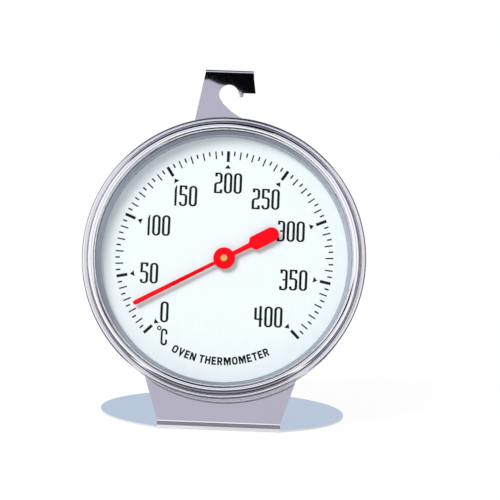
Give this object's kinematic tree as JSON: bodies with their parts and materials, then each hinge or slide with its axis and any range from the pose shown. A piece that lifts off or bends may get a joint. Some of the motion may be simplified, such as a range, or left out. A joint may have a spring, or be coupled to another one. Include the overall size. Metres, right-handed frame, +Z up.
{
  "type": "oven thermometer",
  "caption": "Round dial oven thermometer with a red pointer in a bright case, on a bent sheet that stands on an oval foot or hangs from a notched hook.",
  "frame": {"origin": "on the underside of the foot, at the centre of the oval that the foot is cut from", "axes": "+Z up, the dial faces -Y and leans back, +X to the right of a reader"},
  "size_m": [0.075, 0.0574, 0.094],
  "materials": {
    "stand_sheet": "bright rolled stainless sheet",
    "case_rivets": "plain headed rivets",
    "case_cup": "bright pressed stainless",
    "bezel": "polished",
    "glass": "clear and flat",
    "spacer": "satin",
    "dial": "fine brushed white with a black printed scale",
    "inner_steel": "plain",
    "brass": "turned",
    "bimetal": "rolled strip",
    "spindle_steel": "ground",
    "pointer_red": "smooth satin"
  },
  "bodies": {
    "case_assembly": {"hanger_stand": "stand_sheet", "case_rivets": "case_rivets", "case_cup": "case_cup", "bezel_ring": "bezel", "lens_glass": "glass", "spacer_ring": "spacer", "dial_plate": "dial", "dial_support_ring": "inner_steel", "movement_bridge": "inner_steel", "bridge_rivets": "inner_steel", "front_bearing": "brass", "rear_bearing": "brass", "coil_anchor": "inner_steel", "anchor_rivet": "inner_steel", "bimetal_coil": "bimetal", "coil_end_rivet": "inner_steel"},
    "pointer_assembly": {"pointer": "pointer_red", "pointer_hub": "brass", "spindle": "spindle_steel", "coil_collet": "brass", "thrust_washers": "brass"}
  },
  "joints": [
    {"name": "pointer_turn", "type": "hinge", "parent": "case_assembly", "child": "pointer_assembly", "pos_m": [0, -0.01166, 0.04395], "axis": [0, 0.9613, -0.2756], "range_deg": [-16.2, 253.8], "stiffness_Nm_per_rad": 0.0005, "deforming": ["bimetal_coil"]}
  ]
}
